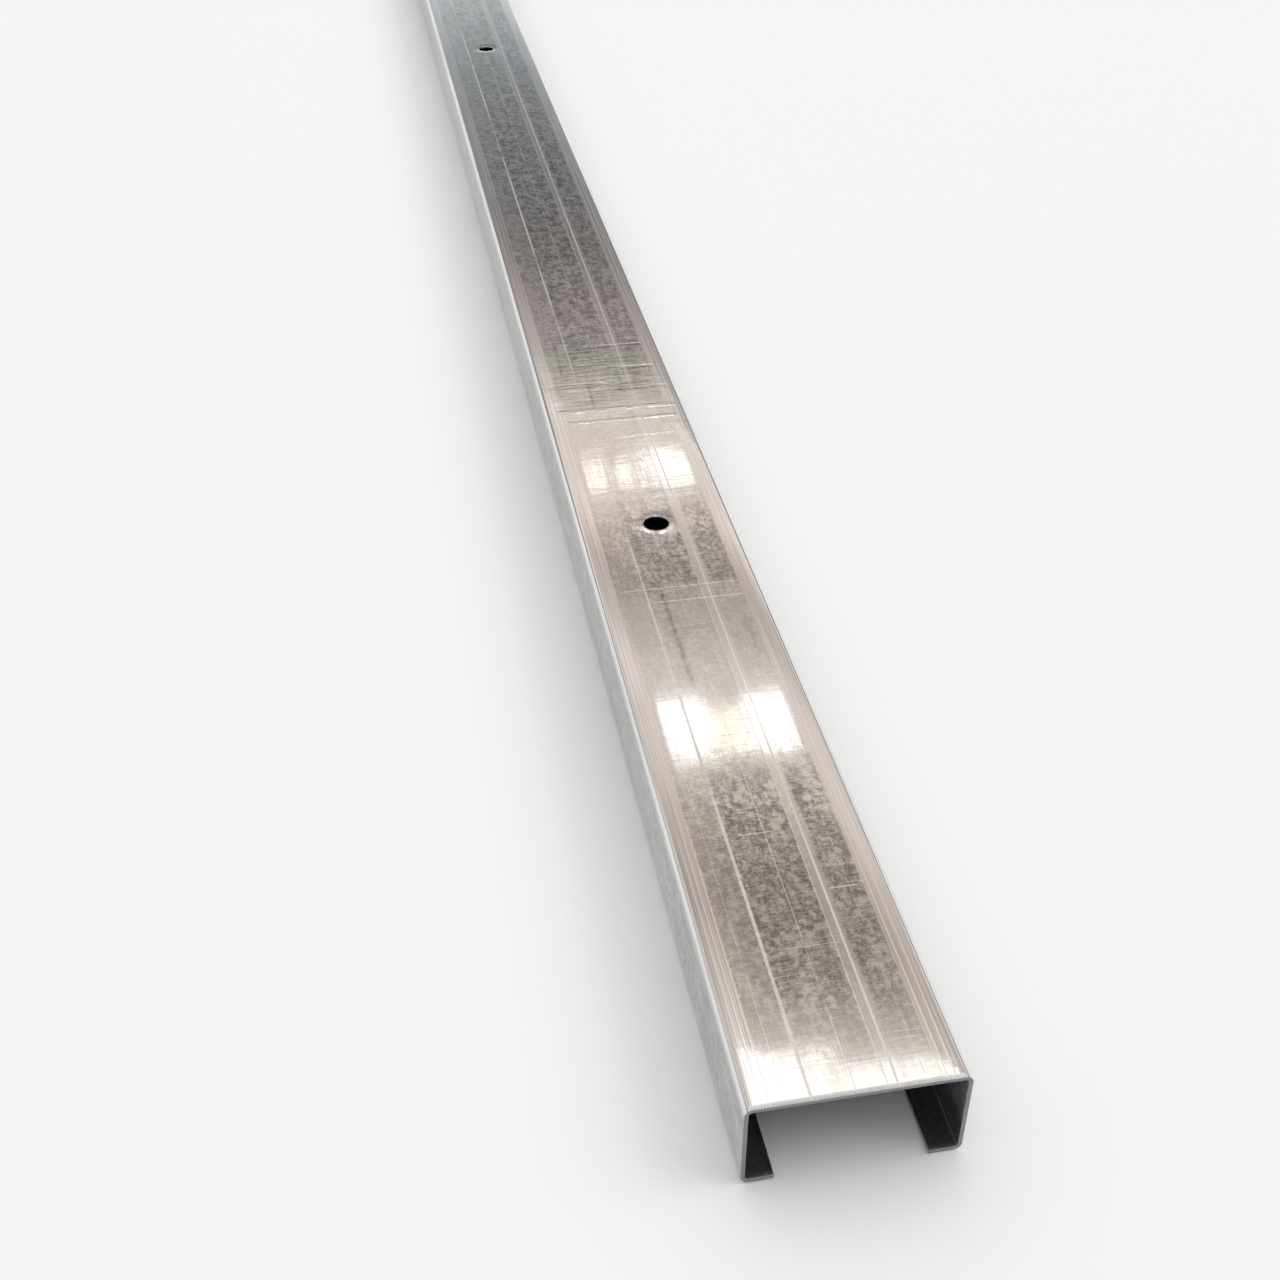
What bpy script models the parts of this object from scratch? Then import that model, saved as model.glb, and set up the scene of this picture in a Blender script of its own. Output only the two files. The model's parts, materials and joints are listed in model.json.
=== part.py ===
"""A cold-formed lipped C channel of galvanised steel, lying web up on its two lips.

Metres, +Z up. The channel runs along Y, front end at -Y. The origin is on the floor, under the middle.
"""

import math

import bmesh
import bpy

# The section, measured over its outer faces
WEB_WIDTH = 0.100
FLANGE_HEIGHT = 0.050
LIP_WIDTH = 0.015
SHEET_THICKNESS = 0.002
BEND_INSIDE_RADIUS = 0.002

# The length and the row of punched holes along the middle of the web
STOCK_LENGTH = 3.000
HOLE_DIAMETER = 0.016
HOLE_SPACING = 1.000
FIRST_HOLE_FROM_FRONT = 0.450

# The punch draws the top edge of each hole down a little, all round
DRAWN_EDGE_WIDTH = 0.0012
DRAWN_EDGE_DEPTH = 0.0006

# Facets of the round stretches
BEND_STEPS = 8
HOLE_STEPS = 32
DRAWN_EDGE_STEPS = 3

# Edges that turn more than this are shaded sharp, in degrees
SHARP_ANGLE = 30

ZINC_COLOUR = (0.70, 0.71, 0.71, 1.0)
ZINC_ROUGHNESS = 0.28


def clear_scene():
    for obj in list(bpy.data.objects):
        bpy.data.objects.remove(obj, do_unlink=True)


def arc(centre, radius, start, end, steps):
    """Points on an arc in the section's plane, from start to end in degrees."""
    points = []
    for step in range(steps + 1):
        angle = math.radians(start + (end - start) * step / steps)
        points.append((centre[0] + radius * math.cos(angle), centre[1] + radius * math.sin(angle)))
    return points


def bent_face(inset, radius):
    """One face of the folded sheet, so far in from the outer one, from lip tip to lip tip."""
    side = WEB_WIDTH / 2 - inset
    low = inset
    high = FLANGE_HEIGHT - inset
    tip = WEB_WIDTH / 2 - LIP_WIDTH
    return [
        (-tip, low),
        *arc((-side + radius, low + radius), radius, 270, 180, BEND_STEPS),
        *arc((-side + radius, high - radius), radius, 180, 90, BEND_STEPS),
        *arc((side - radius, high - radius), radius, 90, 0, BEND_STEPS),
        *arc((side - radius, low + radius), radius, 0, -90, BEND_STEPS),
        (tip, low),
    ]


def section_outline():
    """The closed outline of the sheet's section, as (x, z) points."""
    outer = bent_face(0.0, BEND_INSIDE_RADIUS + SHEET_THICKNESS)
    inner = bent_face(SHEET_THICKNESS, BEND_INSIDE_RADIUS)
    return outer + inner[::-1]


def hole_places():
    """Where along Y each hole's middle is. The last one keeps a diameter from the back end."""
    places = []
    place = -STOCK_LENGTH / 2 + FIRST_HOLE_FROM_FRONT
    while place < STOCK_LENGTH / 2 - HOLE_DIAMETER:
        places.append(place)
        place += HOLE_SPACING
    return places


def stations():
    """Where the section is repeated along Y: at both ends, and a diameter to each side of a hole."""
    found = [-STOCK_LENGTH / 2]
    for place in hole_places():
        found += [place - HOLE_DIAMETER, place + HOLE_DIAMETER]
    return found + [STOCK_LENGTH / 2]


def zinc_coated_steel():
    material = bpy.data.materials.new("zinc_coated_steel")
    material.use_nodes = True
    shader = material.node_tree.nodes["Principled BSDF"]
    shader.inputs["Base Color"].default_value = ZINC_COLOUR
    shader.inputs["Metallic"].default_value = 1.0
    shader.inputs["Roughness"].default_value = ZINC_ROUGHNESS
    return material


def new_object(name, bm):
    mesh = bpy.data.meshes.new(name)
    bm.to_mesh(mesh)
    bm.free()
    obj = bpy.data.objects.new(name, mesh)
    bpy.context.scene.collection.objects.link(obj)
    return obj


def folded_sheet():
    """The whole length of the section, before its holes are punched."""
    bm = bmesh.new()
    places = stations()
    corners = [bm.verts.new((x, places[0], z)) for x, z in section_outline()]
    edges = [bm.edges.new(pair) for pair in zip(corners, corners[1:] + corners[:1])]
    for before, after in zip(places, places[1:]):
        made = bmesh.ops.extrude_edge_only(bm, edges=edges)["geom"]
        moved = [item for item in made if isinstance(item, bmesh.types.BMVert)]
        edges = [item for item in made if isinstance(item, bmesh.types.BMEdge)]
        bmesh.ops.translate(bm, verts=moved, vec=(0, after - before, 0))
    bmesh.ops.holes_fill(bm, edges=bm.edges, sides=len(corners))
    bmesh.ops.recalc_face_normals(bm, faces=bm.faces)
    return new_object("c_channel", bm)


def punch_mesh():
    """The tool that makes one hole: a round shank, flared where it meets the web's top face.

    It reaches past both faces of the sheet by the sheet's own thickness.
    """
    radius = HOLE_DIAMETER / 2
    profile = [(radius, -2 * SHEET_THICKNESS)]
    for step in range(DRAWN_EDGE_STEPS + 1):
        angle = math.radians(90 * step / DRAWN_EDGE_STEPS)
        profile.append((
            radius + DRAWN_EDGE_WIDTH * (1 - math.cos(angle)),
            -DRAWN_EDGE_DEPTH * (1 - math.sin(angle)),
        ))
    profile.append((radius + DRAWN_EDGE_WIDTH, SHEET_THICKNESS))

    bm = bmesh.new()
    rings = []
    for ring_radius, height in profile:
        made = bmesh.ops.create_circle(bm, cap_ends=False, segments=HOLE_STEPS, radius=ring_radius)
        bmesh.ops.translate(bm, verts=made["verts"], vec=(0, 0, height))
        rings.append({edge for vert in made["verts"] for edge in vert.link_edges})
    for lower, upper in zip(rings, rings[1:]):
        bmesh.ops.bridge_loops(bm, edges=list(lower | upper))
    bmesh.ops.holes_fill(bm, edges=bm.edges, sides=HOLE_STEPS)
    bmesh.ops.recalc_face_normals(bm, faces=bm.faces)
    mesh = bpy.data.meshes.new("punch")
    bm.to_mesh(mesh)
    bm.free()
    return mesh


def punch_holes(channel):
    """Cuts each hole down through the web."""
    mesh = punch_mesh()
    for number, place in enumerate(hole_places(), start=1):
        punch = bpy.data.objects.new(f"punch_{number}", mesh)
        bpy.context.scene.collection.objects.link(punch)
        punch.location = (0, place, FLANGE_HEIGHT)
        punch.hide_render = True
        punch.display_type = "WIRE"
        cut = channel.modifiers.new(f"hole_{number}", "BOOLEAN")
        cut.operation = "DIFFERENCE"
        cut.object = punch


def main():
    clear_scene()
    channel = folded_sheet()
    channel.data.materials.append(zinc_coated_steel())
    channel.data.shade_smooth()
    channel.data.set_sharp_from_angle(angle=math.radians(SHARP_ANGLE))
    punch_holes(channel)


main()
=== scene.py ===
import json
import math

import bmesh
import bpy
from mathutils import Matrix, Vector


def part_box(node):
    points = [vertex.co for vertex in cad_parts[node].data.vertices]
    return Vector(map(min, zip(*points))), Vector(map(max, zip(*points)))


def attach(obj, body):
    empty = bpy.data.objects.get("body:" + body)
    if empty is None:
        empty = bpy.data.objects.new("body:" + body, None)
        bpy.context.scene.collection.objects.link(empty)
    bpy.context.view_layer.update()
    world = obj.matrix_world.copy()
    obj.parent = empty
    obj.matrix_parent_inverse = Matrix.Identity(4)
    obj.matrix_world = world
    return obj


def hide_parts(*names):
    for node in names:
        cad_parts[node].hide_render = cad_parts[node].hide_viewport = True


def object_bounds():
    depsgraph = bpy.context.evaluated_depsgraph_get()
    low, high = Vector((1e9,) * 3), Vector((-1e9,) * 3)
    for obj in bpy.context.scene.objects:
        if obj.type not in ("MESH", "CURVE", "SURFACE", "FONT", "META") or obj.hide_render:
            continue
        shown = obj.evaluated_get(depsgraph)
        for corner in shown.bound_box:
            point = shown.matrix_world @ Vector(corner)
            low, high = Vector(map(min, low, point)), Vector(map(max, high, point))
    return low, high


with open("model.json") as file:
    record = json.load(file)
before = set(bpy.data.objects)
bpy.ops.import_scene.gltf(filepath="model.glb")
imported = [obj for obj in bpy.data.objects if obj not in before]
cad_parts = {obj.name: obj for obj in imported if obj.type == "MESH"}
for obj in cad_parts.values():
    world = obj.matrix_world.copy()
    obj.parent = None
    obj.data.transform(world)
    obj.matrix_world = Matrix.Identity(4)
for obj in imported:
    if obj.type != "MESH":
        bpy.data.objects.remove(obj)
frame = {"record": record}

cadLow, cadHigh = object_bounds()
print("frame loaded, box", [round(side, 4) for side in cadHigh - cadLow])

# The camera stands where the photo's did, above and in front of the front end and a little to the left.
# Its lens is longer and aims further up, for one channel alone.
camera = {
    "left": 0.17,  # of the channel's middle
    "inFront": 0.411,  # of the front end
    "aboveWeb": 0.559,
    "down": 36.6,  # degrees
    "turn": 10.5,  # degrees to the right
    "lens": 46.0,  # millimetres, as is the sensor
    "sensor": 36.0,
    "clipStart": 0.01,
    "clipEnd": 200,
}

bpy.ops.object.camera_add(
    location=(-camera["left"], cadLow.y - camera["inFront"], cadHigh.z + camera["aboveWeb"]),
    rotation=(math.radians(90 - camera["down"]), 0, math.radians(-camera["turn"])),
)
eye = bpy.context.object
eye.name = "camera"
eye.data.lens = camera["lens"]
eye.data.sensor_width = camera["sensor"]
eye.data.clip_start = camera["clipStart"]
eye.data.clip_end = camera["clipEnd"]
bpy.context.scene.camera = eye
print("camera placed")


# Shader sums are written as plain sums on these sockets
class Wire:
    def __init__(self, board, socket):
        self.board = board
        self.socket = socket

    def maths(self, operation, *others):
        return self.board.node("ShaderNodeMath", {"operation": operation}, [self, *others])[0]

    def __add__(self, other):
        return self.maths("ADD", other)

    def __sub__(self, other):
        return self.maths("SUBTRACT", other)

    def __mul__(self, other):
        return self.maths("MULTIPLY", other)

    def __truediv__(self, other):
        return self.maths("DIVIDE", other)

    def __rsub__(self, other):
        return self.board.node("ShaderNodeMath", {"operation": "SUBTRACT"}, [other, self])[0]

    __radd__ = __add__
    __rmul__ = __mul__

    def size(self):
        return self.maths("ABSOLUTE")

    def most(self, other):
        return self.maths("MAXIMUM", other)

    def least(self, other):
        return self.maths("MINIMUM", other)

    # 0 below low, 1 above high, with a soft step between; high below low turns it round
    def step(self, low, high):
        sockets = {"Value": self, "From Min": low, "From Max": high}
        return self.board.node("ShaderNodeMapRange", {"interpolation_type": "SMOOTHSTEP"}, sockets)[0]

    # A grey ramp over stops of (place, value), from this number
    def ramp(self, stops):
        low, high = stops[0][0], stops[-1][0]
        shares = [((place - low) / (high - low), (value, value, value)) for place, value in stops]
        share = (self - low) / (high - low)
        return self.board.node("ShaderNodeValToRGB", {"stops": shares}, [share])[0]


class Board:
    def __init__(self, tree):
        self.tree = tree
        self.tree.nodes.clear()

    def put(self, socket, value):
        if isinstance(value, Wire):
            self.tree.links.new(value.socket, socket)
        else:
            socket.default_value = value

    def node(self, kind, settings, sockets):
        made = self.tree.nodes.new(kind)
        for name, value in settings.items():
            if name == "stops":
                self.rampStops(made.color_ramp, value)
            else:
                setattr(made, name, value)
        pairs = sockets.items() if isinstance(sockets, dict) else enumerate(sockets)
        for key, value in pairs:
            self.put(made.inputs[key], value)
        return [Wire(self, socket) for socket in made.outputs if socket.enabled]

    def rampStops(self, ramp, stops):
        while len(ramp.elements) > 1:
            ramp.elements.remove(ramp.elements[-1])
        for number, (place, colour) in enumerate(stops):
            element = ramp.elements[0] if number == 0 else ramp.elements.new(place)
            element.position = place
            element.color = (*colour, 1.0)

    def noise(self, across, along, detail, roughness, third):
        place = self.node("ShaderNodeCombineXYZ", {}, [across, along, third])[0]
        sockets = {"Vector": place, "Scale": 1.0, "Detail": detail, "Roughness": roughness}
        return self.node("ShaderNodeTexNoise", {"noise_dimensions": "3D"}, sockets)[0]

    def vector(self, operation, sockets):
        return self.node("ShaderNodeVectorMath", {"operation": operation}, sockets)[0]

    def mixColours(self, share, first, second):
        return self.node("ShaderNodeMix", {"data_type": "RGBA"}, {0: share, 6: first, 7: second})[0]


zinc = {
    "outside": {
        "bright": (0.80, 0.80, 0.785, 1.0),
        "dull": (0.20, 0.20, 0.20, 1.0),
        "polished": (0.90, 0.895, 0.88, 1.0),  # painted highlight: the shoulders lighter, for the brighter light their slope mirrors
        "smooth": 0.04,
    },
    # The inside: a darker copy of the same zinc, painted shade for the dim inside of the channel, with its
    # own painted highlight on the shoulders
    "inside": {
        "bright": (0.52, 0.55, 0.57, 1.0),
        "dull": (0.24, 0.255, 0.27, 1.0),
        "polished": (0.56, 0.59, 0.61, 1.0),
        "smooth": 0.28,
    },
    "scratched": (0.84, 0.84, 0.83, 1.0),
    "scratchedAtMost": 0.8,
    "drawn": 0.011,  # how far the finest lengthwise lines tilt the surface sideways, in radians
    "noises": {  # with the size across and along in millimetres, and between which values each sets in
        "lengthways": {"mm": (0.8, 8.0), "detail": 2.0, "rough": 0.6, "level": 0.0, "shows": (0.50, 0.66)},
        "crossways": {"mm": (6.0, 1.2), "detail": 2.0, "rough": 0.6, "level": 40.0, "shows": (0.48, 0.64)},
        "flecks": {"mm": (3.4, 4.4), "detail": 5.0, "rough": 0.62, "level": 80.0},
        "patches": {"mm": (5.0, 30.0), "detail": 3.0, "rough": 0.6, "level": 100.0},
        "clouds": {"mm": (12.0, 20.0), "detail": 3.0, "rough": 0.6, "level": 120.0},
        "curls": {"mm": (3.4, 3.6), "detail": 2.0, "rough": 0.5, "level": 140.0},
        "bold": {"mm": (6.5, 8.5), "detail": 3.0, "rough": 0.6, "level": 160.0, "shows": (0.44, 0.58)},
        "fading": {"mm": (14.0, 120.0), "detail": 2.0, "rough": 0.5, "level": 200.0, "shows": (0.25, 0.50)},
        "fineLines": {"mm": (0.4, 220.0), "detail": 2.0, "rough": 0.6, "level": 240.0, "shows": (0.54, 0.72)},
        "chatterRow": {"mm": (0.02, 1.3), "detail": 1.0, "rough": 0.5, "level": 280.0, "shows": (0.63, 0.72)},
        "chatterAt": {"mm": (20.0, 25.0), "detail": 2.0, "rough": 0.5, "level": 320.0, "shows": (0.50, 0.60)},
        "wear": {"mm": (30.0, 140.0), "detail": 3.0, "rough": 0.6, "level": 360.0},
        "ripple": {"mm": (30.0, 2.6), "detail": 2.0, "rough": 0.5, "level": 380.0},
        "drawn": {"mm": (0.25, 90.0), "detail": 2.0, "rough": 0.6, "level": 400.0},
        "blotches": {"mm": (2.4, 6.0), "detail": 4.0, "rough": 0.6, "level": 420.0, "shows": (0.30, 0.60)},
        "streaks": {"mm": (0.7, 260.0), "detail": 3.0, "rough": 0.65, "level": 440.0, "shows": (0.44, 0.66)},
        "rolls": {"mm": (42.0, 8.0), "detail": 2.0, "rough": 0.55, "level": 480.0},
        "dullRows": {"mm": (34.0, 2.3), "detail": 3.0, "rough": 0.55, "level": 500.0, "shows": (0.48, 0.60)},
        "broken": {"mm": (12.0, 6.0), "detail": 3.0, "rough": 0.6, "level": 520.0, "shows": (0.36, 0.60)},
    },
    "weave": {"flecks": 0.50, "clouds": 0.26, "patches": 0.24},  # what the grain is made of
    "weaveShows": (0.345, 0.575),
    "boldMiddle": 0.45,
    "strokes": {"crossways": 0.30, "lengthways": 0.18, "curls": 0.28},  # how much these brighten it
    "curlWidth": 0.07,
    "wearShows": {"rough": (0.40, 0.70), "dull": (0.35, 0.75)},
    "roughness": {"grain": 0.06, "rollMarks": 0.30, "fineLines": 0.08, "crossMarks": 0.25, "worn": 0.03},
    "dullness": {
        "grain": 0.9,
        "fineLines": 0.1,
        "faded": 0.12,
        "stains": 1.0,
        "streaks": 0.35,
        "dullRows": 1.0,
    },
    "scratches": {"rollMarks": 1.0, "crossMarks": 0.7},
    "height": {  # in thousandths of a millimetre
        "grain": 1.2,
        "fineLines": 1.0,
        "rollMarks": 4.0,
        "crossMarks": 3.0,
        "ripple": 3.0,
        "rolls": 1.0,
        "ridges": 1.0,
    },
    "reach": {  # millimetres from the web's middle: where nothing of it shows, and where all of it does
        "web": (54.0, 48.0),
        "shoulderBegins": (36.6, 38.0),
        "shoulderEnds": (52.0, 49.0),
        "flange": (52.0, 58.0),
        "chatter": (42.0, 38.0),
        "dullRows": (40.0, 34.0),
    },
    "chatterBreaks": (-21.0, 15.0),  # the rows of short marks end at these roll lines
    "flangeStreaks": 0.8,
    "rollLineEdge": (2.0, 0.6),  # where a line sets in and where it is plain, as shares of its half width
    "crossLineEdge": (1.6, 0.4),
    "crossLineEase": 1,  # millimetres that a line's ends fade over, each way
    "crossMarkStrength": 0.8,
    "stainEase": (12, 3),  # the same for a stain's near end and its far end
    "ridgeBroken": 0.75,  # how much of a ridge's height can be missing
    "rollLines": (  # millimetres from the web's middle, half width, strength
        (-21.0, 0.55, 1.0),
        (-1.5, 0.22, 0.55),
        (12.6, 0.20, 0.7),
        (17.0, 0.40, 0.9),
        (29.5, 0.14, 0.35),
        (-32.0, 0.16, 0.35),
        (36.6, 0.16, 0.5),
        (38.6, 0.22, 0.7),
        (42.4, 0.30, 0.5),
        (44.6, 0.18, 0.6),
        (-38.6, 0.20, 0.7),
        (-41.8, 0.30, 0.5),
        (-44.4, 0.18, 0.6),
        (48.6, 0.35, 0.8),
        (61.0, 0.25, 0.8),
        (74.0, 0.2, 0.6),
        (91.2, 0.30, 0.7),
        (96.4, 0.40, 0.9),
        (-48.6, 0.35, 0.8),
        (-66.0, 0.25, 0.8),
        (-81.0, 0.2, 0.6),
        (-91.0, 0.30, 0.7),
        (-96.4, 0.40, 0.9),
    ),
    "rollLinesAlong": (  # how plain those lines are, from the front end back
        (0.0, 0.9), (205.0, 1.0), (240.0, 0.45), (370.0, 0.5), (560.0, 0.4), (700.0, 0.8), (3000.0, 0.85),
    ),
    "crossMarks": (  # millimetres from the front end, from where to where across, half width
        (118.0, 20.0, 34.0, 0.45),
        (161.0, -15.0, 2.0, 0.45),
        (364.0, -16.0, 36.0, 0.45),
        (378.0, -34.0, 36.0, 0.45),
        (488.0, 4.0, 38.0, 0.45),
        (651.0, -20.0, 22.0, 0.8),
    ),
    "ridges": (  # the same, and their height in thousandths of a millimetre, or a groove's depth below zero
        (563.0, -10.0, 36.0, 1.4, 16.0),
        (587.0, -36.0, 41.0, 1.8, 34.0),
        (603.0, -41.0, 43.0, 2.2, 46.0),
        (632.0, -30.0, 42.0, 1.6, -32.0),
        (641.0, -42.0, 34.0, 2.4, -40.0),
        (664.0, 14.0, 38.0, 1.8, -44.0),
        (701.0, -6.0, 36.0, 1.8, -50.0),
    ),
    "rollsAlong": (  # how high the slight waves across the strip are, in thousandths of a millimetre
        (0.0, 8.0), (40.0, 6.0), (200.0, 5.0), (290.0, 7.0), (440.0, 12.0), (480.0, 26.0), (640.0, 34.0),
        (760.0, 18.0), (1100.0, 12.0), (3000.0, 12.0),
    ),
    "stains": (  # millimetres from the web's middle, half width, from where to where along, strength
        (-11.5, 2.6, 284.0, 376.0, 0.40),
        (31.0, 4.0, 300.0, 350.0, 0.16),
        (-14.0, 2.6, 608.0, 642.0, 0.4),
        (-29.0, 3.0, 655.0, 720.0, 0.3),
    ),
    "grainAcross": (  # how much of the grain the rolls left, from the web's middle out
        (-112.0, 0.8), (-58.0, 1.0), (-50.0, 0.0), (-39.0, 0.0), (-38.0, 0.6), (-21.9, 0.75),
        (-20.6, 1.0), (12.2, 1.0), (13.0, 0.25), (19.0, 0.25), (20.2, 1.0), (35.6, 0.95),
        (37.4, 0.0), (50.0, 0.0), (58.0, 1.0), (112.0, 0.8),
    ),
    "flangeGrain": 0.75,
    "dullRowsAlong": (  # how dull the rows across the strip are, from the front end back
        (0.0, 0.0), (598.0, 0.0), (622.0, 0.4), (690.0, 0.4), (750.0, 0.1), (3000.0, 0.1),
    ),
    "boldAlong": (  # how much bolder the flecks are, from the front end back
        (0.0, 0.0), (620.0, 0.0), (720.0, 0.3), (850.0, 0.6), (1150.0, 0.6), (1400.0, 0.35), (3000.0, 0.35),
    ),
    "grainAlong": (  # how much of the grain the rolls left on the web, from the front end back
        (0.0, 0.20), (30.0, 0.40), (60.0, 0.9), (100.0, 1.0), (190.0, 1.0), (205.0, 0.75),
        (222.0, 0.45), (240.0, 0.27), (285.0, 0.25), (310.0, 0.34), (362.0, 0.40), (382.0, 1.0),
        (450.0, 0.9), (475.0, 0.5), (500.0, 0.27), (600.0, 0.25), (660.0, 0.5), (740.0, 0.85),
        (1100.0, 0.9), (1300.0, 0.7), (1750.0, 0.5), (1950.0, 1.0), (2400.0, 0.5), (3000.0, 0.8),
    ),
}


# Adds up patterns, each by its share
def blend(patterns, shares):
    return sum(patterns[name] * share for name, share in shares.items())


# Patterns of the finish, by millimetres across from the web's middle and along from the front end
class Finish:
    def __init__(self, board):
        self.board = board
        strip = board.node("ShaderNodeUVMap", {"uv_map": "strip"}, {})[0]
        across, along, _ = board.node("ShaderNodeSeparateXYZ", {}, [strip])
        self.across = across * 1000
        self.along = along * 1000 - cadLow.y * 1000
        self.outwards = self.across.size()
        self.shoulder = self.within("shoulderBegins") * self.within("shoulderEnds")

    def within(self, name):
        return self.outwards.step(*zinc["reach"][name])

    def noise(self, name, across=None):
        kind = zinc["noises"][name]
        wide, long = kind["mm"]
        place = ((self.across if across is None else across) / wide, self.along / long)
        made = self.board.noise(*place, kind["detail"], kind["rough"], kind["level"])
        return made.step(*kind["shows"]) if "shows" in kind else made

    # Soft dark flecks, crossed by short bright strokes both ways and by thin bright curls
    def grain(self):
        web = self.within("web")
        flange = zinc["flangeGrain"]
        smoothed = flange + (self.along.ramp(zinc["grainAlong"]) - flange) * web
        reach = self.across.ramp(zinc["grainAcross"]) * smoothed
        weave = blend({name: self.noise(name) for name in zinc["weave"]}, zinc["weave"])
        bold = (self.noise("bold") - zinc["boldMiddle"]) * self.along.ramp(zinc["boldAlong"]) * web
        strokes = {
            "crossways": self.noise("crossways"),
            "lengthways": self.noise("lengthways"),
            "curls": (self.noise("curls") - 0.5).size().step(zinc["curlWidth"], 0.0),
        }
        weave = weave.step(*zinc["weaveShows"]) + bold - blend(strokes, zinc["strokes"])
        return weave.most(0.0) * reach

    # Long straight marks that the rolls left
    def rollMarks(self):
        outer, inner = zinc["rollLineEdge"]
        marks = 0.0
        for place, halfWidth, strength in zinc["rollLines"]:
            line = (self.across - place).size().step(halfWidth * outer, halfWidth * inner) * strength
            marks = line.most(marks)
        return marks * self.noise("fading") * self.along.ramp(zinc["rollLinesAlong"])

    # A straight line across the web
    def crossLine(self, place, fromSide, toSide, halfWidth):
        outer, inner = zinc["crossLineEdge"]
        ease = zinc["crossLineEase"]
        thick = (self.along - place).size().step(halfWidth * outer, halfWidth * inner)
        begins = self.across.step(fromSide - ease, fromSide + ease)
        ends = self.across.step(toSide + ease, toSide - ease)
        return thick * begins * ends

    # Rows of short crosswise marks, others in each of three strips of the web, and a few longer ones
    def crossMarks(self):
        left, right = zinc["chatterBreaks"]
        between = self.across.maths("GREATER_THAN", left) + self.across.maths("GREATER_THAN", right)
        marks = self.noise("chatterRow", between) * self.noise("chatterAt") * self.within("chatter")
        for mark in zinc["crossMarks"]:
            marks = marks.most(self.crossLine(*mark) * zinc["crossMarkStrength"])
        return marks

    # Low ridges and shallow grooves across the web, broken here and there
    def ridges(self):
        whole = sum(self.crossLine(*mark) * high for *mark, high in zinc["ridges"])
        broken = zinc["ridgeBroken"]
        return whole * (self.noise("broken") * broken + (1 - broken))

    def dullRows(self):
        return self.noise("dullRows") * self.along.ramp(zinc["dullRowsAlong"]) * self.within("dullRows")

    # Blotched stains that run along
    def stains(self):
        first, last = zinc["stainEase"]
        found = 0.0
        for place, halfWidth, fromEnd, toEnd, strength in zinc["stains"]:
            line = (self.across - place).size().step(halfWidth, 0.0) * strength
            begins = self.along.step(fromEnd - first, fromEnd + first)
            ends = self.along.step(toEnd + last, toEnd - last)
            found = (line * begins * ends).most(found)
        return found * self.noise("blotches")

    # The bright and dark streaks of the shoulders and the flanges
    def streaks(self):
        flange = self.within("flange") * zinc["flangeStreaks"]
        return self.noise("streaks") * self.shoulder.most(flange)

    # Lines too fine to see, all drawn lengthwise, spread what the surface mirrors sideways
    def normal(self):
        normal = self.board.node("ShaderNodeNewGeometry", {}, {})[1]
        sideways = self.board.vector("CROSS_PRODUCT", [normal, (0, 1, 0)])
        drawn = (self.noise("drawn") - 0.5) * (2 * zinc["drawn"])
        tilt = self.board.vector("SCALE", {"Vector": sideways, "Scale": drawn})
        return self.board.vector("NORMALIZE", [self.board.vector("ADD", [normal, tilt])])


def zincMaterial(name, coat):
    made = bpy.data.materials.new(name)
    made.use_nodes = True
    board = Board(made.node_tree)
    finish = Finish(board)
    wear = finish.noise("wear")
    patterns = {
        "grain": finish.grain(),
        "rollMarks": finish.rollMarks(),
        "fineLines": finish.noise("fineLines"),
        "crossMarks": finish.crossMarks(),
        "worn": wear.step(*zinc["wearShows"]["rough"]),
        "faded": wear.step(*zinc["wearShows"]["dull"]),
        "stains": finish.stains(),
        "streaks": finish.streaks(),
        "dullRows": finish.dullRows(),
        "ripple": finish.noise("ripple"),
        "rolls": finish.noise("rolls") * finish.along.ramp(zinc["rollsAlong"]),
        "ridges": finish.ridges(),
    }
    roughness = coat["smooth"] + blend(patterns, zinc["roughness"])
    dullness = blend(patterns, zinc["dullness"]).least(1.0)
    scratches = blend(patterns, zinc["scratches"]).least(1.0) * zinc["scratchedAtMost"]
    # painted highlight: the shoulders take the coat's lighter colour
    ground = board.mixColours(finish.shoulder, coat["bright"], coat["polished"])
    colour = board.mixColours(dullness, ground, coat["dull"])
    colour = board.mixColours(scratches, colour, zinc["scratched"])
    height = blend(patterns, zinc["height"])
    relief = {"Strength": 1.0, "Distance": 0.000001, "Height": height, "Normal": finish.normal()}
    bump = board.node("ShaderNodeBump", {}, relief)[0]
    sockets = {"Base Color": colour, "Metallic": 1.0, "Roughness": roughness, "Normal": bump}
    shader = board.node("ShaderNodeBsdfPrincipled", {}, sockets)[0]
    board.node("ShaderNodeOutputMaterial", {}, {"Surface": shader})
    return made


shear = {
    "bright": (0.38, 0.38, 0.38, 1.0),
    "dark": (0.18, 0.18, 0.18, 1.0),
    "roughness": 0.48,
    "streakRoughness": 0.2,
    "tearsAcross": 2600,  # to the metre
    "tearsAlong": 900,
    "tearsShow": (0.40, 0.66),
    "streaksAcross": 900,
    "streaksAlong": 400,
    "relief": {"Strength": 0.6, "Distance": 0.0001},
}


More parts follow.
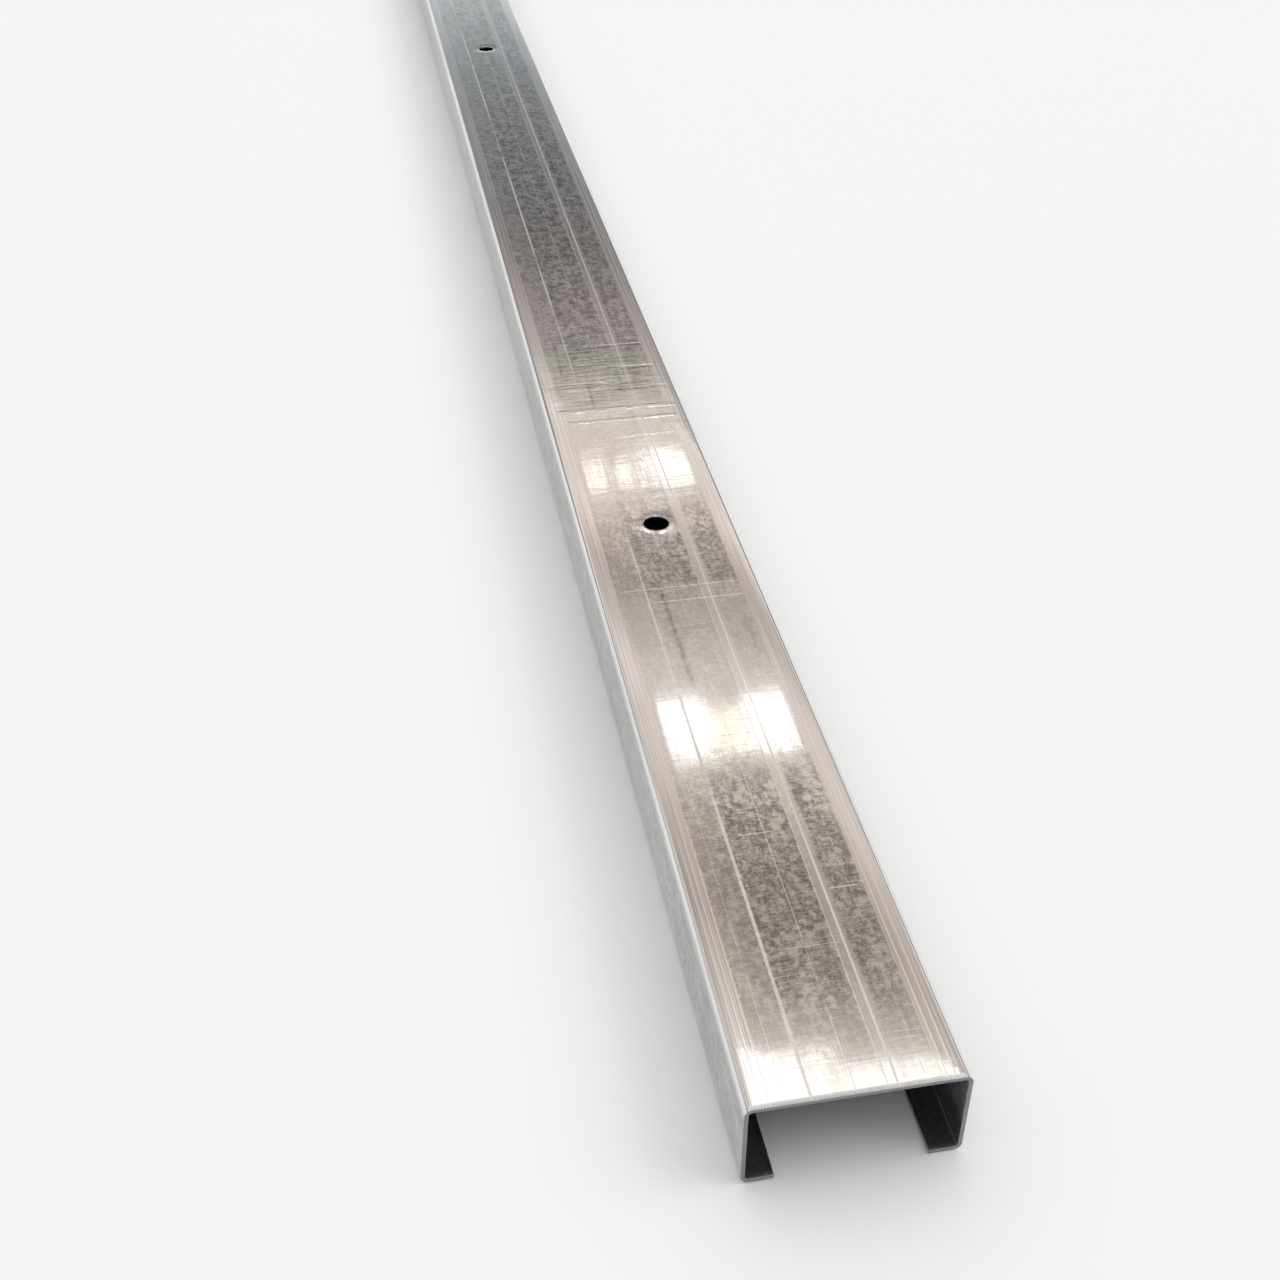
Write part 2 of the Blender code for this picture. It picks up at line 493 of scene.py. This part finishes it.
def shearedMaterial():
    made = bpy.data.materials.new("shearedSteel")
    made.use_nodes = True
    board = Board(made.node_tree)
    place = board.node("ShaderNodeTexCoord", {}, {})[3]
    x, y, z = board.node("ShaderNodeSeparateXYZ", {}, [place])
    across = shear["tearsAcross"]
    tears = board.noise(x * across, z * across, 3.0, 0.65, y * shear["tearsAlong"])
    across = shear["streaksAcross"]
    streaks = board.noise(x * across, z * across, 2.0, 0.5, y * shear["streaksAlong"])
    colour = board.mixColours(tears.step(*shear["tearsShow"]), shear["bright"], shear["dark"])
    roughness = shear["roughness"] + streaks * shear["streakRoughness"]
    bump = board.node("ShaderNodeBump", {}, {**shear["relief"], "Height": tears})[0]
    sockets = {"Base Color": colour, "Metallic": 1.0, "Roughness": roughness, "Normal": bump}
    shader = board.node("ShaderNodeBsdfPrincipled", {}, sockets)[0]
    board.node("ShaderNodeOutputMaterial", {}, {"Surface": shader})
    return made


# The channel itself: one strip, folded along four bends, then punched. Lengths are in metres.
channel = {
    "lip": 0.015,
    "sheet": 0.002,
    "bendOutside": 0.004,
    "bendSteps": 10,
    "webCells": 24,
    "flangeCells": 6,
    "lipCells": 2,
    "samePlace": 0.00001,  # what lies closer together is in the same place
    "flatNormal": 0.999,  # how squarely a face of a flat looks its way, at least
    "holeCells": 4,  # the web's cells on each side of a hole's middle that give way to its rings
    "holeRadius": 0.008,
    "drawnWidth": 0.0012,
    "drawnDepth": 0.0006,
    "drawnSteps": 4,
    "dishRadius": 0.0138,  # the punch pressed a shallow dish round each hole
    "dishDepth": 0.000115,
    "dishEase": 0.06,  # how softly the dish sets in
    "dishSteps": 6,
    "longCell": 0.015,
    "endCell": 0.003,
    "fineEnd": 0.030,  # how far from each end the short cells go
    "waveDepth": 0.00009,  # how far the flats stand in from true
    "waveLength": 0.05,
    "waveStretch": 3.0,  # the waves are that much longer along the stock
    "shoulderDip": 0.00018,  # how much lower the web is where its bends begin
    "shoulderWidth": 0.009,
    "cutRound": 0.00018,
    "cutRagged": 0.00035,  # how far in the saw left the cut ends
    "sawLength": 0.006,
    "sharpAngle": 50,  # degrees
    "lipLift": {  # at each lip's end: side, end, how far up its edge is bent
        "frontLeft": (-1, -1, 0.0011),
        "frontRight": (1, -1, 0.0005),
        "backLeft": (-1, 1, 0.0004),
        "backRight": (1, 1, 0.0009),
    },
    "lipLiftLength": 0.035,
}
cornerLow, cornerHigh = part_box("c_channel")
halfWeb = cornerHigh.x
topLevel = cornerHigh.z
flatHalf = halfWeb - channel["bendOutside"]
webCell = 2 * flatHalf / channel["webCells"]
holeRows = [
    (spot["box_m"][0][1] + spot["box_m"][1][1]) / 2
    for spot in frame["record"]["physics"]["openings"]
    if spot["name"].startswith("bolt_hole")
]


def near(value, target):
    return abs(value - target) < channel["samePlace"]


# Selects in edit mode what the test says, and nothing else
def pick(kind, test):
    mesh = bpy.context.object.data
    bm = bmesh.from_edit_mesh(mesh)
    for part in (*bm.verts, *bm.edges, *bm.faces):
        part.select_set(False)
    parts = {"verts": bm.verts, "edges": bm.edges, "faces": bm.faces}[kind]
    chosen = [part for part in parts if test(part)]
    for part in chosen:
        part.select_set(True)
    bm.select_flush_mode()
    bmesh.update_edit_mesh(mesh)


# One of the four edges that the strip is folded along
def isFold(edge):
    first, second = (end.co for end in edge.verts)
    runsAlong = near(first.x, second.x) and near(first.z, second.z)
    return runsAlong and near(abs(first.x), halfWeb) and len(edge.link_faces) == 2


def cut(axis, place):
    normal = [0, 0, 0]
    normal[axis] = 1
    point = [0, 0, 0]
    point[axis] = place
    bpy.ops.mesh.bisect(plane_co=point, plane_no=normal)


# How far round the folded strip a point of its outer face lies from the web's middle
def roundStrip(x, z):
    radius = channel["bendOutside"]
    bend = radius * math.pi / 2
    lowest = flatHalf + 2 * bend + (topLevel - 2 * radius)
    out = abs(x)
    if z >= topLevel - radius and out <= flatHalf:
        far = out
    elif z >= topLevel - radius:
        far = flatHalf + radius * math.atan2(out - flatHalf, z - (topLevel - radius))
    elif z >= radius:
        far = flatHalf + bend + (topLevel - radius - z)
    elif out >= flatHalf:
        far = lowest - radius * math.atan2(out - flatHalf, radius - z)
    else:
        far = lowest + (flatHalf - out)
    return math.copysign(far, x)


def makeStrip():
    bpy.ops.object.select_all(action="DESELECT")
    length = cornerHigh.y - cornerLow.y
    bpy.ops.mesh.primitive_plane_add(size=1, location=(0, 0, topLevel))
    piece = bpy.context.object
    piece.name = "channelStock"
    bpy.ops.object.transform_apply(location=True, rotation=True, scale=True)
    bpy.ops.object.mode_set(mode="EDIT")
    bpy.ops.transform.resize(value=(2 * halfWeb, length, 1), center_override=(0, 0, topLevel))
    bpy.ops.mesh.select_mode(type="EDGE")
    for side in (-halfWeb, halfWeb):
        pick("edges", lambda edge: all(near(end.co.x, side) for end in edge.verts))
        bpy.ops.mesh.extrude_region_move(TRANSFORM_OT_translate={"value": (0, 0, -topLevel)})
        inward = math.copysign(channel["lip"], -side)
        bpy.ops.mesh.extrude_region_move(TRANSFORM_OT_translate={"value": (inward, 0, 0)})
    pick("edges", isFold)
    bpy.ops.mesh.bevel(offset=channel["bendOutside"], segments=channel["bendSteps"], affect="EDGES")
    bpy.ops.mesh.select_all(action="SELECT")
    bpy.ops.mesh.normals_make_consistent(inside=False)
    return piece


# Crosswise cuts: close together at the ends and round the holes, wider between
def rows():
    around = channel["holeCells"]
    fixed = [row + step * webCell for row in holeRows for step in range(-around, around + 1)]
    step = channel["endCell"]
    while step <= channel["fineEnd"]:
        fixed += [cornerLow.y + step, cornerHigh.y - step]
        step += channel["endCell"]
    fixed.sort()
    found = list(fixed)
    for before, after in zip(fixed, fixed[1:]):
        gap = after - before
        count = max(1, round(gap / channel["longCell"]))
        found += [before + gap * number / count for number in range(1, count)]
    return sorted(found)


def makeGrid():
    flatNormal = channel["flatNormal"]
    for row in rows():
        bpy.ops.mesh.select_all(action="SELECT")
        cut(1, row)
    for number in range(1, channel["webCells"]):
        pick("faces", lambda face: face.normal.z > flatNormal)
        cut(0, -flatHalf + 2 * flatHalf * number / channel["webCells"])
    flat = topLevel - 2 * channel["bendOutside"]
    for number in range(1, channel["flangeCells"]):
        pick("faces", lambda face: abs(face.normal.x) > flatNormal)
        cut(2, channel["bendOutside"] + flat * number / channel["flangeCells"])
    lipFlat = channel["lip"] - channel["bendOutside"]
    for number in range(1, channel["lipCells"]):
        for side in (-1, 1):
            pick("faces", lambda face: face.normal.z < -flatNormal and face.calc_center_median().x * side > 0)
            cut(0, side * (flatHalf - lipFlat * number / channel["lipCells"]))


# The web dips a little towards its bends, and the lips' ends are bent up a little
def bendSoftly():
    bpy.ops.mesh.select_mode(type="VERT")
    pick("verts", lambda vert: near(abs(vert.co.x), flatHalf) and near(vert.co.z, topLevel))
    bpy.ops.transform.translate(
        value=(0, 0, -channel["shoulderDip"]),
        use_proportional_edit=True,
        proportional_edit_falloff="SMOOTH",
        proportional_size=channel["shoulderWidth"],
    )
    lipEdge = halfWeb - channel["lip"]
    for side, end, lift in channel["lipLift"].values():
        place = cornerHigh.y if end > 0 else cornerLow.y
        pick("verts", lambda vert: near(vert.co.x, side * lipEdge) and near(vert.co.y, place))
        bpy.ops.transform.translate(
            value=(0, 0, lift),
            use_proportional_edit=True,
            proportional_edit_falloff="SMOOTH",
            proportional_size=channel["lipLiftLength"],
        )


# Radius and depth of each ring round a hole, inwards: first the dish, then the edge that the punch drew down
def holeSection():
    rim = channel["holeRadius"] + channel["drawnWidth"]
    dish = channel["dishRadius"]
    found = []
    for step in range(1, channel["dishSteps"] + 1):
        share = step / channel["dishSteps"]
        deep = share - math.sin(math.pi * share) * channel["dishEase"]
        found.append((dish + (rim - dish) * share, channel["dishDepth"] * deep))
    for step in range(1, channel["drawnSteps"] + 1):
        angle = math.pi / 2 * step / channel["drawnSteps"]
        drop = channel["drawnDepth"] * (1 - math.cos(angle))
        found.append((rim - channel["drawnWidth"] * math.sin(angle), channel["dishDepth"] + drop))
    return found


def openHole(row):
    reach = channel["holeCells"] * webCell
    radius = channel["dishRadius"]

    def inBlock(face):
        centre = face.calc_center_median()
        looksUp = face.normal.z > channel["flatNormal"]
        return looksUp and abs(centre.x) < reach and abs(centre.y - row) < reach

    def onBlockRim(edge):
        furthest = max(max(abs(end.co.x), abs(end.co.y - row)) for end in edge.verts)
        level = all(near(end.co.z, topLevel) for end in edge.verts)
        return len(edge.link_faces) == 1 and level and furthest < reach + webCell / 2

    def onCircle(edge):
        return len(edge.link_faces) == 1 and all(
            near(math.hypot(end.co.x, end.co.y - row), radius) for end in edge.verts
        )

    bpy.ops.mesh.select_mode(type="FACE")
    pick("faces", inBlock)
    bpy.ops.mesh.delete(type="FACE")
    bpy.ops.mesh.select_mode(type="EDGE")
    corners = 8 * channel["holeCells"]  # as many as the block's rim has
    sunk = 0.004  # the circle waits below the web, because a bridge in one plane can twist
    bpy.ops.mesh.primitive_circle_add(vertices=corners, radius=radius, location=(0, row, topLevel - sunk))
    pick("edges", lambda edge: len(edge.link_faces) == 0 or onBlockRim(edge))
    bpy.ops.mesh.bridge_edge_loops()
    pick("edges", onCircle)
    bpy.ops.transform.translate(value=(0, 0, sunk))
    depth = 0
    for newRadius, newDepth in holeSection():
        bpy.ops.mesh.extrude_region_move(TRANSFORM_OT_translate={"value": (0, 0, depth - newDepth)})
        share = newRadius / radius
        bpy.ops.transform.resize(value=(share, share, 1), center_override=(0, row, topLevel))
        radius, depth = newRadius, newDepth


def markStrip(piece):
    layer = piece.data.uv_layers.new(name="strip")
    for loop in piece.data.loops:
        spot = piece.data.vertices[loop.vertex_index].co
        layer.data[loop.index].uv = (roundStrip(spot.x, spot.z), spot.y)


def applyModifier(piece, name, kind, settings):
    made = piece.modifiers.new(name, kind)
    for key, value in settings.items():
        setattr(made, key, value)
    bpy.ops.object.modifier_apply(modifier=name)


# The rolls leave the flats a few hundredths of a millimetre out of true, in waves along the stock
def addWaves(piece):
    bpy.ops.object.empty_add(location=(0, 0, 0))
    guide = bpy.context.object
    guide.scale = (1, channel["waveStretch"], 1)
    bpy.context.view_layer.update()
    texture = bpy.data.textures.new("rollWave", "CLOUDS")
    texture.noise_scale = channel["waveLength"]
    texture.noise_depth = 1
    bpy.ops.object.select_all(action="DESELECT")
    piece.select_set(True)
    bpy.context.view_layer.objects.active = piece
    applyModifier(piece, "rollWave", "DISPLACE", {
        "texture": texture,
        "texture_coords": "OBJECT",
        "texture_coords_object": guide,
        "strength": channel["waveDepth"],
        "mid_level": 1.0,
    })
    bpy.data.objects.remove(guide)


# The saw left both cut ends a little uneven, inwards only
def roughenCuts(piece):
    texture = bpy.data.textures.new("sawEdge", "CLOUDS")
    texture.noise_scale = channel["sawLength"]
    texture.noise_depth = 3
    for name, place, inward in (("frontCut", cornerLow.y, 1), ("backCut", cornerHigh.y, -1)):
        group = piece.vertex_groups.new(name=name)
        rim = [vert.index for vert in piece.data.vertices if near(vert.co.y, place)]
        group.add(rim, 1.0, "REPLACE")
        applyModifier(piece, name, "DISPLACE", {
            "texture": texture,
            "texture_coords": "LOCAL",
            "direction": "Y",
            "vertex_group": name,
            "strength": channel["cutRagged"] * inward,
            "mid_level": 0.0,
        })
    piece.vertex_groups.clear()


def makeChannel():
    piece = makeStrip()
    makeGrid()
    bendSoftly()
    for row in holeRows:
        openHole(row)
    bpy.ops.mesh.select_all(action="SELECT")
    bpy.ops.mesh.normals_make_consistent(inside=False)
    bpy.ops.object.mode_set(mode="OBJECT")
    markStrip(piece)
    piece.data.materials.append(zincMaterial("zincCoatedSteel", zinc["outside"]))
    piece.data.materials.append(shearedMaterial())
    # the inside faces get a darker copy of the zinc: painted shade
    piece.data.materials.append(zincMaterial("zincInside", zinc["inside"]))
    addWaves(piece)
    roughenCuts(piece)
    applyModifier(piece, "wall", "SOLIDIFY", {
        "thickness": channel["sheet"],
        "offset": -1.0,
        "use_even_offset": True,
        "use_rim": True,
        "material_offset": 2,  # the inside's darker copy of the zinc, painted shade
        "material_offset_rim": 1,  # the cut faces'
    })
    applyModifier(piece, "softCuts", "BEVEL", {
        "width": channel["cutRound"],
        "segments": 2,
        "limit_method": "ANGLE",
        "angle_limit": math.radians(channel["sharpAngle"]),
    })
    bpy.ops.object.shade_smooth_by_angle(angle=math.radians(channel["sharpAngle"]))
    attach(piece, "root")
    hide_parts("c_channel")
    print("channel made,", len(piece.data.polygons), "faces")


makeChannel()

# A plain pale floor, which turns into the pale horizon some way off, as a studio's backdrop does
floor = {
    "size": 120,
    "level": -0.0002,
    "colour": (0.93, 0.93, 0.925, 1.0),
    "roughness": 0.9,
    "horizon": (0.93, 0.93, 0.93, 1.0),
    "fadeFrom": 2.2,  # metres from the middle
    "fadeTo": 9.0,
}


# What the camera sees, and what metal mirrors or glass lets through, apart from all other rays
def directRays(board):
    rays = {wire.socket.name: wire for wire in board.node("ShaderNodeLightPath", {}, {})}
    return rays["Is Camera Ray"], rays["Is Glossy Ray"].most(rays["Is Transmission Ray"])


def makeFloor():
    bpy.ops.object.select_all(action="DESELECT")
    bpy.ops.mesh.primitive_plane_add(size=floor["size"], location=(0, 0, floor["level"]))
    piece = bpy.context.object
    piece.name = "floor"
    made = bpy.data.materials.new("paleFloor")
    made.use_nodes = True
    board = Board(made.node_tree)
    place = board.node("ShaderNodeTexCoord", {}, {})[3]
    away = board.vector("LENGTH", [place])
    byCamera, byMirror = directRays(board)
    share = away.step(floor["fadeFrom"], floor["fadeTo"]) * byCamera.most(byMirror)
    sockets = {"Base Color": floor["colour"], "Roughness": floor["roughness"], "Specular IOR Level": 0.0}
    matt = board.node("ShaderNodeBsdfPrincipled", {}, sockets)[0]
    horizon = board.node("ShaderNodeEmission", {}, {"Color": floor["horizon"], "Strength": 1.0})[0]
    shader = board.node("ShaderNodeMixShader", {}, [share, matt, horizon])[0]
    board.node("ShaderNodeOutputMaterial", {}, {"Surface": shader})
    piece.data.materials.append(made)
    print("floor laid")


makeFloor()

# The air around. Each list goes by the sine of the height above the horizon.
light = {
    "ahead": (  # what the web mirrors for the camera: a pale far end, then warm greys
        (0.00, (0.93, 0.93, 0.93)),
        (0.235, (0.92, 0.94, 0.95)),
        (0.256, (0.61, 0.65, 0.67)),
        (0.30, (0.33, 0.345, 0.36)),
        (0.347, (0.27, 0.275, 0.28)),
        (0.39, (0.28, 0.26, 0.255)),
        (0.43, (0.45, 0.39, 0.38)),
        (0.456, (0.53, 0.49, 0.46)),
        (0.4660, (0.86, 0.79, 0.73)),
        (0.4683, (0.57, 0.53, 0.49)),
        (0.4763, (0.62, 0.57, 0.53)),
        (0.4782, (1.12, 1.02, 0.95)),
        (0.4841, (1.06, 0.96, 0.88)),
        (0.4862, (0.83, 0.74, 0.68)),
        (0.533, (0.92, 0.80, 0.73)),
        (0.558, (0.58, 0.50, 0.455)),
        (0.585, (0.57, 0.51, 0.48)),
        (0.61, (0.83, 0.735, 0.71)),
        (0.665, (0.78, 0.69, 0.62)),
        (0.69, (0.60, 0.515, 0.465)),
        (0.722, (0.50, 0.43, 0.39)),
        (0.75, (0.65, 0.575, 0.52)),
        (0.78, (0.76, 0.68, 0.62)),
        (0.81, (1.02, 0.98, 0.93)),
        (0.87, (1.00, 0.99, 0.97)),
        (1.00, (0.66, 0.66, 0.66)),
    ),
    "around": (  # what it mirrors from every other side
        (0.00, (0.93, 0.93, 0.93)),
        (0.20, (0.86, 0.87, 0.88)),
        (0.38, (0.46, 0.46, 0.46)),
        (0.60, (0.52, 0.51, 0.50)),
        (0.80, (0.80, 0.80, 0.79)),
        (1.00, (0.66, 0.66, 0.66)),
    ),
    "dome": (  # the soft light itself
        (0.00, (0.23, 0.23, 0.23)),
        (0.30, (0.57, 0.57, 0.57)),
        (0.60, (1.00, 1.00, 1.00)),
        (1.00, (1.20, 1.20, 1.20)),
    ),
    "aheadBegins": (0.34, 0.54),  # by how far a direction points along the stock
    "behindDimming": 0.86,  # low behind the camera, so that the channel's inside stays dark
    "behindBegins": (0.10, -0.30),
    "behindHeight": (0.85, 0.50),
}

# A wide soft light far off on the right, for a shadow along the left side
sideLight = {"from": (2.3, -0.5, 2.2), "spread": 34, "strength": 0.72, "colour": (1.0, 0.99, 0.98)}

# Light panes, by where the camera sees them in the web: millimetres from its middle, and from the front end
paneHeight = 2.6
panes = {
    "nearLeft": {"across": (-85, -5), "along": (-20, 27), "radiance": 0.9, "colour": (1.0, 0.98, 0.94)},
    "nearRight": {"across": (-4, 90), "along": (-20, 15), "radiance": 0.9, "colour": (1.0, 0.98, 0.94)},
    "middleLeft": {"across": (-38, -10), "along": (221, 271), "radiance": 1.55, "colour": (1.0, 0.98, 0.92)},
    "middleGap": {"across": (-9, 10), "along": (221, 260), "radiance": 0.85, "colour": (1.0, 0.95, 0.72)},
    "middleRight": {"across": (12, 38), "along": (221, 269), "radiance": 1.55, "colour": (1.0, 0.98, 0.93)},
    "farLeft": {"across": (-38, -21), "along": (498, 533), "radiance": 0.95, "colour": (1.0, 0.95, 0.82)},
    "farMiddle": {"across": (-13, -1), "along": (499, 530), "radiance": 0.95, "colour": (1.0, 0.95, 0.82)},
    "farRight": {"across": (2, 38), "along": (497, 535), "radiance": 1.35, "colour": (1.0, 0.985, 0.94)},
}


def makeWorld():
    world = bpy.data.worlds.new("softSurroundings")
    bpy.context.scene.world = world
    world.use_nodes = True
    board = Board(world.node_tree)
    direction = board.node("ShaderNodeTexCoord", {}, {})[0]
    _, y, z = board.node("ShaderNodeSeparateXYZ", {}, [direction])
    ahead, around, dome = (
        board.node("ShaderNodeValToRGB", {"stops": light[name]}, {"Fac": z})[0]
        for name in ("ahead", "around", "dome")
    )
    mirrored = board.mixColours(y.step(*light["aheadBegins"]), around, ahead)
    byCamera, byMirror = directRays(board)
    colour = board.mixColours(byMirror, board.mixColours(byCamera, dome, floor["horizon"]), mirrored)
    behind = y.step(*light["behindBegins"]) * z.step(*light["behindHeight"])
    strength = 1 - behind * light["behindDimming"] * (1 - byCamera.most(byMirror))
    shader = board.node("ShaderNodeBackground", {}, {"Color": colour, "Strength": strength})[0]
    board.node("ShaderNodeOutputWorld", {}, {"Surface": shader})


def makeSideLight():
    bpy.ops.object.light_add(type="SUN", location=sideLight["from"])
    made = bpy.context.object
    made.name = "sideLight"
    made.data.angle = math.radians(sideLight["spread"])
    made.data.energy = sideLight["strength"]
    made.data.color = sideLight["colour"]
    made.visible_glossy = False  # the metal mirrors only the air around and the panes
    made.rotation_euler = (-made.location).to_track_quat("-Z", "Y").to_euler()


# What the camera sees at a place in the web hangs as much further on as the pane is higher than the camera
def makePane(name, pane):
    reach = (paneHeight - topLevel) / camera["aboveWeb"]
    sides = [place / 1000 * (1 + reach) + camera["left"] * reach for place in pane["across"]]
    ends = [place / 1000 * (1 + reach) + camera["inFront"] * reach + cadLow.y for place in pane["along"]]
    width = sides[1] - sides[0]
    length = ends[1] - ends[0]
    bpy.ops.object.light_add(type="AREA", location=(sum(sides) / 2, sum(ends) / 2, paneHeight))
    made = bpy.context.object
    made.name = name + "Pane"
    made.data.shape = "RECTANGLE"
    made.data.size = width
    made.data.size_y = length
    made.data.color = pane["colour"]
    made.data.energy = pane["radiance"] * math.pi * width * length
    made.visible_camera = False


makeWorld()
makeSideLight()
for name, pane in panes.items():
    makePane(name, pane)
bpy.context.scene.view_settings.view_transform = "Standard"
print("lights hung")
